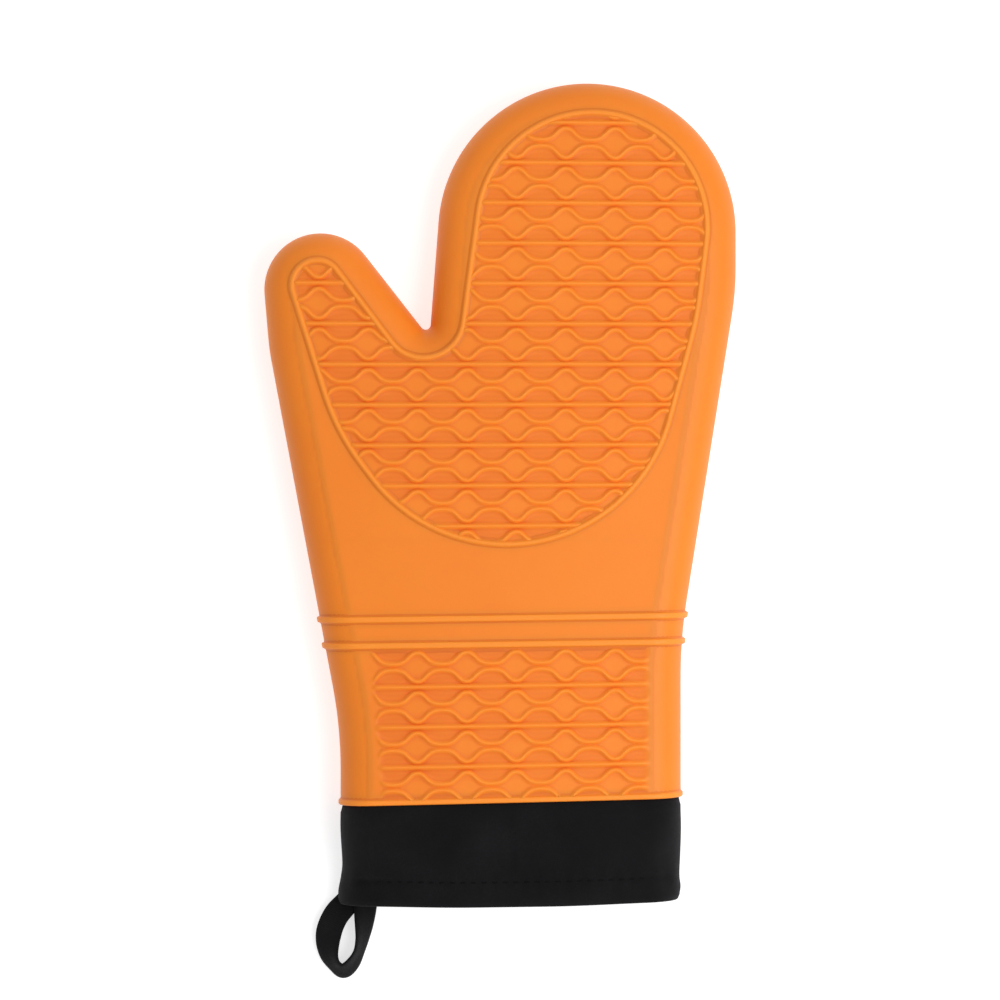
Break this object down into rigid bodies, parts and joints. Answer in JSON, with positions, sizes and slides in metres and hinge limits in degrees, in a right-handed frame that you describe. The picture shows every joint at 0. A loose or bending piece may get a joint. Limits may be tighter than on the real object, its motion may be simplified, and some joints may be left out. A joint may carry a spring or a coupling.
{
  "type": "oven mitt",
  "caption": "Silicone oven mitt with ribbed grip panels, a padded cotton liner that shows as a black cuff, and a tape hanging loop.",
  "frame": {"origin": "middle of the palm, on the plane that the back of the mitt lies on", "axes": "+Z out of the palm, +Y towards the fingertips, +X away from the thumb"},
  "size_m": [0.1885, 0.3578, 0.032],
  "materials": {
    "silicone": "satin moulded silicone",
    "cuff_cotton": "plain woven cotton",
    "quilted_lining": "quilted cotton",
    "wadding": "fibrous wadding",
    "sewing_thread": "twisted polyester thread",
    "loop_tape": "twill tape"
  },
  "bodies": {
    "gauntlet": {"gauntlet_shell": "silicone", "gauntlet_wadding_palm": "wadding", "gauntlet_wadding_back": "wadding", "gauntlet_lining_palm": "quilted_lining", "gauntlet_lining_back": "quilted_lining", "cuff_cloth_palm": "cuff_cotton", "cuff_cloth_back": "cuff_cotton", "hem_facing_palm": "cuff_cotton", "hem_facing_back": "cuff_cotton", "hem_stitches_palm": "sewing_thread", "hem_stitches_back": "sewing_thread"},
    "palm": {"palm_shell": "silicone", "palm_wadding_palm": "wadding", "palm_wadding_back": "wadding", "palm_lining_palm": "quilted_lining", "palm_lining_back": "quilted_lining"},
    "fingers": {"fingers_shell": "silicone", "fingers_wadding_palm": "wadding", "fingers_wadding_back": "wadding", "fingers_lining_palm": "quilted_lining", "fingers_lining_back": "quilted_lining"},
    "thumb": {"thumb_shell": "silicone", "thumb_wadding_palm": "wadding", "thumb_wadding_back": "wadding", "thumb_lining_palm": "quilted_lining", "thumb_lining_back": "quilted_lining"},
    "hang_loop": {"hang_loop": "loop_tape"}
  },
  "joints": [
    {"name": "wrist_flex", "type": "hinge", "parent": "gauntlet", "child": "palm", "pos_m": [0, -0.078, 0.016], "axis": [1, 0, 0], "range_deg": [-25, 40], "stiffness_Nm_per_rad": 1},
    {"name": "finger_flex", "type": "hinge", "parent": "palm", "child": "fingers", "pos_m": [0.0305, 0.05058, 0.016], "axis": [1, 0, 0], "range_deg": [-15, 60], "stiffness_Nm_per_rad": 0.5},
    {"name": "thumb_flex", "type": "hinge", "parent": "palm", "child": "thumb", "pos_m": [-0.04302, 0.04849, 0.016], "axis": [0.8988, 0.4384, 0], "range_deg": [-15, 60], "stiffness_Nm_per_rad": 0.3},
    {"name": "loop_swing", "type": "hinge", "parent": "gauntlet", "child": "hang_loop", "pos_m": [-0.0662, -0.20452, 0.005], "axis": [1, 0, 0], "range_deg": [-80, 80]}
  ]
}
